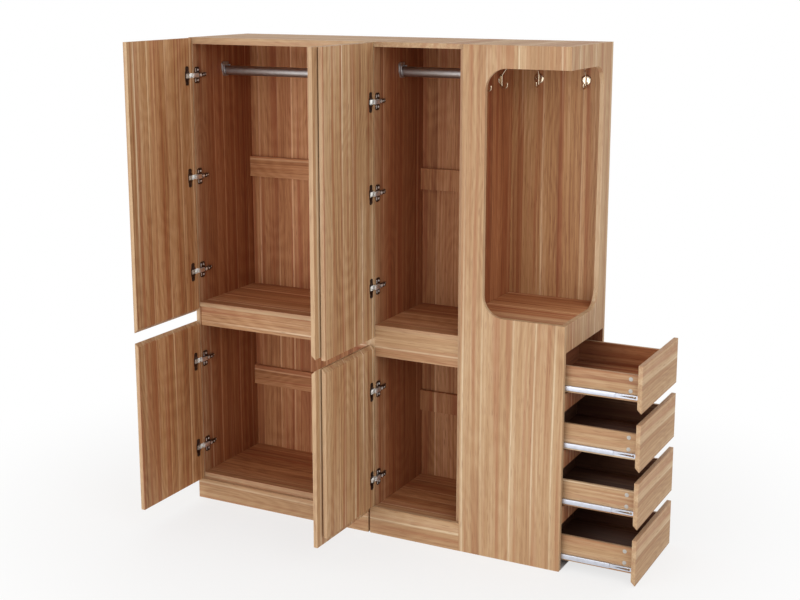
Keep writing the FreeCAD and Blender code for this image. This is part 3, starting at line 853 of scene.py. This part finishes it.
class WARDROBE_OT_rails(bpy.types.Operator):
    """Make the two hanging rails and their end sockets"""

    bl_idname = "wardrobe.rails"
    bl_label = "Hanging Rails"

    def execute(self, context):
        screw = context.scene.wardrobe_sizes.screw / MM
        rails = solids("hanging_rails")
        tubes, sockets = Piece(), Piece()
        for low, high in rails:
            middle = (low + high) / 2
            radius = (high.z - low.z) / 2 / MM
            run = (high.x - low.x) / MM
            tube = turned([(radius - TUBE_T, 0), (radius - TUBE_RIM, 0), (radius, TUBE_RIM),
                           (radius, run - TUBE_RIM), (radius - TUBE_RIM, run), (radius - TUBE_T, run)], 64)
            tubes.take(tube, lambda p: Vector((low.x + p.z * MM, middle.y + p.x * MM, middle.z + p.y * MM)))
        tubes.make("rail_tubes", plated("satin_nickel_tube"), "carcass", "rail_nickel", "hanging_rails")
        for low, high in solids("rail_sockets"):
            rail = min(rails, key=lambda pair: abs((pair[0].x + pair[1].x) / 2 - (low.x + high.x) / 2))
            wall, way = (low.x, 1) if low.x < rail[0].x else (high.x, -1)
            middle = (rail[0] + rail[1]) / 2
            inner = (rail[1].z - rail[0].z) / 2 / MM + SOCKET_PLAY
            outer = inner + SOCKET_T
            top = inner + SOCKET_RISE
            cradle = [(-outer, top)] + arc(outer, math.pi, 2 * math.pi) + [(outer, top), (inner, top)]
            cradle += arc(inner, 2 * math.pi, math.pi) + [(-inner, top)]

            def standing(p):
                return Vector((wall + way * p.z * MM, middle.y + p.x * MM, middle.z + p.y * MM))

            sockets.take(prism(SOCKET, 0, SOCKET_T, edge=0.8), standing)
            sockets.take(prism(cradle, SOCKET_T, SOCKET_REACH, edge=0.5), standing)
            for side in (-1, 1):
                place = Vector((SOCKET_SCREW[0] * side, SOCKET_SCREW[1], SOCKET_T))
                sockets.take(screw_head(screw * 0.8, 1.5), lambda p: standing(place + p))
        sockets.make("rail_end_sockets", plated("satin_nickel_tube"), "carcass", "rail_nickel",
                     "rail_sockets")
        return {"FINISHED"}


# Coat hook, in millimetres: the rod's path as (away from the wall, up), the rosette's profile, its screws
HOOK_PATH = [(35.0, 58.0), (20.5, 36.5), (8.4, 18.8), (6.9, 15.0), (6.5, 11.0), (6.5, -8.0)]
HOOK_PATH += [(17.5 + away, rise - 20.0) for away, rise in arc(11.0, math.pi, 2 * math.pi, 12)]
HOOK_PATH.append((28.5, -12.5))
HOOK_TOP = 61.0
ROSETTE = [(0, 0), (18.8, 0), (19, 0.5), (19, 2.2), (18.2, 3.3), (16.6, 3.9), (9, 4.2), (0, 4.3)]
ROSETTE_SCREW = (2.7, 1.0)
ROSETTE_SCREW_AT = (4.0, 10.5)


class WARDROBE_OT_hooks(bpy.types.Operator):
    """Make the four coat hooks of the niche"""

    bl_idname = "wardrobe.hooks"
    bl_label = "Coat Hooks"

    def execute(self, context):
        rod = context.scene.wardrobe_sizes.hook_rod / MM
        path = [Vector((away, rise, 0)) for away, rise in HOOK_PATH]
        piece = Piece()
        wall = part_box("c_wall")[1].x
        for low, high in solids("coat_hooks"):
            foot = (low + high) / 2
            foot.z = high.z - HOOK_TOP * MM
            if abs(low.x - wall) < 1 * MM:
                out = Vector((1, 0, 0))
                foot.x = low.x
            else:
                out = Vector((0, -1, 0))
                foot.y = high.y
            across = out.cross(UP)

            def placed(away, rise, aside):
                return foot + (out * away + UP * rise + across * aside) * MM

            piece.take(turned(ROSETTE, 40), lambda p: placed(p.z, p.y, p.x))
            piece.take(swept(path, UP, rod), lambda p: placed(p.x, p.y, p.z))
            away, aside = ROSETTE_SCREW_AT
            for side in (-aside, aside):
                piece.take(screw_head(*ROSETTE_SCREW), lambda p: placed(away + p.z, p.y, side + p.x))
        piece.make("coat_hook_set", plated("champagne_brass"), "carcass", "hook_brass", "coat_hooks")
        return {"FINISHED"}


# Caps on the drawer sides, in millimetres: how far under the walls' top and behind their front end
CAP_DROPS = (17.0, 60.0)
CAP_BACK = 34.0


class WARDROBE_OT_drawers(bpy.types.Operator):
    """Print the drawers, paint shade inside them and press the caps over their fixings"""

    bl_idname = "wardrobe.drawers"
    bl_label = "Drawers"

    def execute(self, context):
        c = context.scene.wardrobe_colours
        radius = context.scene.wardrobe_sizes.cap_radius / MM
        cap = [(0, 0), (radius, 0), (radius, 0.5), (radius * 0.9, 0.9), (radius * 0.5, 1.15), (0, 1.2)]
        caps = finish("moulded_cap_plastic", cap_plastic)
        for n in DRAWERS:
            tag = "drawer_%d" % n
            dress_board(tag + "_front", "fronts", "YZ", same_on_each_front)
            # Painted shade: the lower drawers, in the shadow of the ones above, take a darker share of the
            # top drawer's tints
            row, shade = ("top_drawer", 1.0) if n == DRAWERS[0] else ("lower_drawers", c.lower_drawers)
            inside = painted_shade_in_drawers(Vector(c.drawer_mouth) * shade, Vector(c.drawer_inside) * shade)
            dress_board(tag + "_walls", "walls_of_" + row, "XZ", level_on_the_end_wall, inside)
            dress_board(tag + "_bottom", "floor_of_" + row, "XY", None, inside)
            low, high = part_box(tag + "_walls")
            piece = Piece()
            for outside, way in ((low.y, -1), (high.y, 1)):
                for drop in CAP_DROPS:
                    def pressed(p):
                        return Vector((high.x + (p.x - CAP_BACK) * MM, outside + way * p.z * MM,
                                       high.z + (p.y - drop) * MM))

                    piece.take(turned(cap, 28), pressed)
            piece.make(tag + "_caps", [caps], tag, "slide_zinc")
        return {"FINISHED"}


class WARDROBE_OT_drawer_rails(bpy.types.Operator):
    """Make the three rails between the drawers, flush with the side panel above them"""

    bl_idname = "wardrobe.drawer_rails"
    bl_label = "Drawer Rails"

    def execute(self, context):
        sizes = context.scene.wardrobe_sizes
        edge = sizes.edge / MM
        inner, outer = (corner.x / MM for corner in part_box("c_side"))
        front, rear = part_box("c_front")[1].y / MM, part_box("c_rear")[0].y / MM
        section = [(inner, front), (outer, front), (outer, rear), (inner, rear)]
        piece = Piece()
        for above, below in zip(DRAWERS, DRAWERS[1:]):
            low = (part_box("drawer_%d_front" % below)[1].z + sizes.rail_slit) / MM
            high = (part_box("drawer_%d_walls" % above)[0].z - sizes.rail_room) / MM
            piece.take(prism(section, low, high, edge), lambda p: p * MM)
        # The rails take the upright boards' print, with painted shade where they face the drawers' room
        piece.make("drawer_rails", [bpy.data.materials["wood_print_zy"]], "carcass", "wood_boards")
        return {"FINISHED"}


class WARDROBE_OT_plinth_batten(bpy.types.Operator):
    """Make the batten behind the wide plinth, which closes the slit under the bottom board"""

    bl_idname = "wardrobe.plinth_batten"
    bl_label = "Plinth Batten"

    def execute(self, context):
        sizes = context.scene.wardrobe_sizes
        low, high = (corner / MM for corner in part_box("a_bottom"))
        start = low.y + sizes.batten_back / MM
        section = [(low.x, start), (high.x, start), (high.x, start + BOARD_T), (low.x, start + BOARD_T)]
        piece = Piece()
        piece.take(prism(section, 0.0, low.z, sizes.edge / MM), lambda p: p * MM)
        # The batten takes the plinth's print, with painted shade where it lies inside the cabinet
        piece.make("plinth_batten", [bpy.data.materials["wood_print_xz"]], "carcass", "wood_boards")
        return {"FINISHED"}


# Telescopic slide, in millimetres: V from the cabinet panel towards the drawer side, W up from its middle.
# Each member has the place of its web and of its flanges' tips, and half its height
SHEET = 1.2
BEND = 4.2
LIP_DROP = 0.5
FIXED = (0.0, 6.35, 11.0)
MIDDLE = (2.0, 10.7, 9.3)
INNER = (12.7, 4.0, 7.6)
# Looped end of the drawer member, back from its front end, and the place of its screw
LOOP_L = 95.0
LOOP = rounded([(-LOOP_L, 0), (-LOOP_L, 7.6), (0, 7.6), (0, 0), (-7.0, 0), (-7.0, 4.6), (-70.0, 0)],
               [0, 0, 5, 0, 0, 2.5, 0])
LOOP_SCREW = 18.0


def rolled_channel(web, tip, half):
    """Outline of a rolled channel: web at one side, flanges turned over to the tips, bends rounded."""
    way = 1 if tip > web else -1
    lip = half - LIP_DROP
    bend, back = web + way * BEND, web + way * SHEET
    outer = [(tip, lip), (bend, half), (web, half), (web, -half), (bend, -half), (tip, -lip)]
    inside = [(tip, -lip + SHEET), (bend, -half + SHEET), (back, -half + SHEET),
              (back, half - SHEET), (bend, half - SHEET), (tip, lip - SHEET)]
    return rounded(outer + inside, [0.4, 0, 2.2, 2.2, 0, 0.4, 0.4, 0, 1.0, 1.0, 0, 0.4], 4)


class WARDROBE_OT_slides(bpy.types.Operator):
    """Make the telescopic slides: fixed, middle and drawer members"""

    bl_idname = "wardrobe.slides"
    bl_label = "Drawer Slides"

    def execute(self, context):
        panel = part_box("c_front")[1].y
        middle_y = (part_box("c_front")[0].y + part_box("c_rear")[1].y) / 2
        screw = context.scene.wardrobe_sizes.screw / MM
        fixed = Piece()
        fixed_boxes = solids("slides_fixed")
        for n in DRAWERS:
            tag = "drawer_%d" % n
            low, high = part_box(tag + "_slide_mid")
            height = (low.z + high.z) / 2
            rest = min(fixed_boxes, key=lambda pair: abs((pair[0].z + pair[1].z) / 2 - height))
            inner_low, inner_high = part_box(tag + "_slide_inner")
            front = inner_high.x / MM
            runner, member = Piece(), Piece()
            for rear in (False, True):
                def laid(x, v, w):
                    y = panel + v * MM
                    return Vector((x * MM, 2 * middle_y - y if rear else y, height + w * MM))

                for piece, section, ends in (
                        (fixed, FIXED, (rest[0].x / MM, rest[1].x / MM)),
                        (runner, MIDDLE, (low.x / MM, high.x / MM)),
                        (member, INNER, (inner_low.x / MM, front - LOOP_L))):
                    piece.take(prism(rolled_channel(*section), *ends), lambda p: laid(p.z, p.x, p.y))
                web, tip = INNER[:2]
                for side in (-1, 1):
                    member.take(prism([(x, w * side) for x, w in LOOP], tip, web),
                                lambda p: laid(front + p.x, p.z, p.y))
                member.take(screw_head(screw * 0.7, 1.4),
                            lambda p: laid(front - LOOP_SCREW + p.x, web - p.z, p.y), 1)
            runner.make(tag + "_slide_runner", plated("white_zinc_sheet"), "runner_%d" % n, "slide_zinc",
                        tag + "_slide_mid")
            member.make(tag + "_slide_member", plated("white_zinc_sheet", "nickel_plated_steel"), tag,
                        "slide_zinc", tag + "_slide_inner")
        fixed.make("slides_on_cabinet", plated("white_zinc_sheet"), "carcass", "slide_zinc", "slides_fixed")
        return {"FINISHED"}


# Softboxes: name, place in metres and power in watts, with their sizes and the point that they look at
SOFTBOXES = (("softbox_right", (4.2, -3.0, 2.6), 46.0), ("softbox_left", (-1.0, -4.2, 0.7), 70.0))
SOFTBOX_SIZE = (3.0, 2.2)
SOFTBOX_AIM = Vector((0, 0, 0.9))
DOME_STRENGTH = 0.8
# Distances from the middle over which the floor turns from painted to white, in metres
FLOOR_FADE = (0.9, 2.2)
FLOOR_WHITE_NEAR = 0.72
# Camera at the photograph's viewing angle, in metres and radians
CAMERA_AT = (2.3686, -4.5304, 2.1055)
CAMERA_YAW = 0.47915
CAMERA_PITCH = 0.20376
CAMERA_LENS = 60.8
CAMERA_SHIFT = (0.0052, -0.0537)
WHITE = (1, 1, 1, 1)


def seen_as_white(tree):
    """1 for rays from the camera, off metal and through glass, which are shown a white background."""
    path = add(tree, "LightPath")
    seen = path.outputs["Is Camera Ray"]
    for ray in ("Is Glossy Ray", "Is Transmission Ray"):
        seen = add(tree, "Math", {0: seen, 1: path.outputs[ray]}, operation="MAXIMUM")
    return seen


class WARDROBE_OT_stage(bpy.types.Operator):
    """Set up the pale floor, the soft light and the camera"""

    bl_idname = "wardrobe.stage"
    bl_label = "Stage"

    def execute(self, context):
        scene = context.scene
        self.floor(scene)
        self.light(scene)
        self.camera(scene)
        scene.view_settings.view_transform = "Standard"
        return {"FINISHED"}

    def floor(self, scene):
        half = scene.wardrobe_sizes.floor_size / 2
        mesh = bpy.data.meshes.new("floor")
        corners = [(-half, -half, 0), (half, -half, 0), (half, half, 0), (-half, half, 0)]
        mesh.from_pydata(corners, [], [(0, 1, 2, 3)])
        floor = bpy.data.objects.new("floor", mesh)
        scene.collection.objects.link(floor)
        # Matt painted studio floor: white to the camera, with the object's own soft shadow left in it
        material, tree = blank_material("studio_floor_paint")
        paint = add(tree, "BsdfDiffuse", {"Color": rgba(scene.wardrobe_colours.floor)})
        white = add(tree, "Emission", {"Color": WHITE, "Strength": 1.0})
        place = add(tree, "TexCoord").outputs["Object"]
        away = add(tree, "VectorMath", {0: place}, operation="LENGTH").outputs["Value"]
        open_floor = add(tree, "MapRange", {"Value": away, "From Min": FLOOR_FADE[0],
                                            "From Max": FLOOR_FADE[1], "To Min": FLOOR_WHITE_NEAR,
                                            "To Max": 1.0}, interpolation_type="SMOOTHSTEP")
        # The floor under the wardrobe stays painted, so that no light comes up through gaps
        covered = beyond(tree, place, Vector((CAD_BOX[0].x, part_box("a_plinth")[1].y, -1.0)),
                         Vector((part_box("c_rear")[1].x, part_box("c_rear")[1].y, 1.0)))
        clear = add(tree, "Math", {0: covered, 1: 1.0}, operation="MINIMUM")
        shown = add(tree, "Math", {0: open_floor, 1: clear}, operation="MULTIPLY")
        share = add(tree, "Math", {0: seen_as_white(tree), 1: shown}, operation="MULTIPLY")
        both = add(tree, "MixShader", {0: share, 1: paint, 2: white})
        add(tree, "OutputMaterial", {"Surface": both})
        mesh.materials.append(material)

    def light(self, scene):
        world = bpy.data.worlds.new("studio")
        world.use_nodes = True
        tree = world.node_tree
        tree.nodes.clear()
        dome = add(tree, "Background", {"Color": WHITE, "Strength": DOME_STRENGTH})
        shown = add(tree, "Background", {"Color": WHITE, "Strength": 1.0})
        both = add(tree, "MixShader", {0: seen_as_white(tree), 1: dome, 2: shown})
        add(tree, "OutputWorld", {"Surface": both})
        scene.world = world
        for name, place, power in SOFTBOXES:
            lamp = bpy.data.lights.new(name, "AREA")
            lamp.shape = "RECTANGLE"
            lamp.size, lamp.size_y = SOFTBOX_SIZE
            lamp.energy = power
            softbox = bpy.data.objects.new(name, lamp)
            softbox.location = place
            softbox.rotation_euler = (SOFTBOX_AIM - softbox.location).to_track_quat("-Z", "Y").to_euler()
            scene.collection.objects.link(softbox)

    def camera(self, scene):
        eye = bpy.data.cameras.new("camera")
        eye.sensor_width = 36.0
        eye.lens = CAMERA_LENS
        eye.shift_x, eye.shift_y = CAMERA_SHIFT
        eye.clip_end = 60.0
        camera = bpy.data.objects.new("camera", eye)
        camera.location = CAMERA_AT
        level = math.cos(CAMERA_PITCH)
        ahead = Vector((-math.sin(CAMERA_YAW) * level, math.cos(CAMERA_YAW) * level, -math.sin(CAMERA_PITCH)))
        camera.rotation_euler = ahead.to_track_quat("-Z", "Y").to_euler()
        scene.collection.objects.link(camera)
        scene.camera = camera


STEPS = (WARDROBE_OT_boards, WARDROBE_OT_leaves, WARDROBE_OT_hinge_cups, WARDROBE_OT_hinge_arms,
         WARDROBE_OT_rails, WARDROBE_OT_hooks, WARDROBE_OT_drawers, WARDROBE_OT_drawer_rails,
         WARDROBE_OT_plinth_batten, WARDROBE_OT_slides, WARDROBE_OT_stage)


class WARDROBE_PT_sidebar(bpy.types.Panel):
    bl_label = "Wardrobe"
    bl_idname = "WARDROBE_PT_sidebar"
    bl_space_type = "VIEW_3D"
    bl_region_type = "UI"
    bl_category = "Wardrobe"

    def draw(self, context):
        layout = self.layout
        for group in (context.scene.wardrobe_sizes, context.scene.wardrobe_colours):
            box = layout.box()
            for name in group.bl_rna.properties.keys():
                if name not in ("rna_type", "name"):
                    box.prop(group, name)
        for step in STEPS:
            layout.operator(step.bl_idname)


CLASSES = (WardrobeColours, WardrobeSizes) + STEPS + (WARDROBE_PT_sidebar,)


def register():
    for cls in CLASSES:
        bpy.utils.register_class(cls)
    bpy.types.Scene.wardrobe_colours = bpy.props.PointerProperty(type=WardrobeColours)
    bpy.types.Scene.wardrobe_sizes = bpy.props.PointerProperty(type=WardrobeSizes)


def unregister():
    del bpy.types.Scene.wardrobe_sizes
    del bpy.types.Scene.wardrobe_colours
    for cls in reversed(CLASSES):
        bpy.utils.unregister_class(cls)


def main():
    register()
    bpy.ops.wardrobe.boards()
    bpy.ops.wardrobe.leaves()
    bpy.ops.wardrobe.hinge_cups()
    bpy.ops.wardrobe.hinge_arms()
    bpy.ops.wardrobe.rails()
    bpy.ops.wardrobe.hooks()
    bpy.ops.wardrobe.drawers()
    bpy.ops.wardrobe.drawer_rails()
    bpy.ops.wardrobe.plinth_batten()
    bpy.ops.wardrobe.slides()
    bpy.ops.wardrobe.stage()


if __name__ == "__main__":
    main()
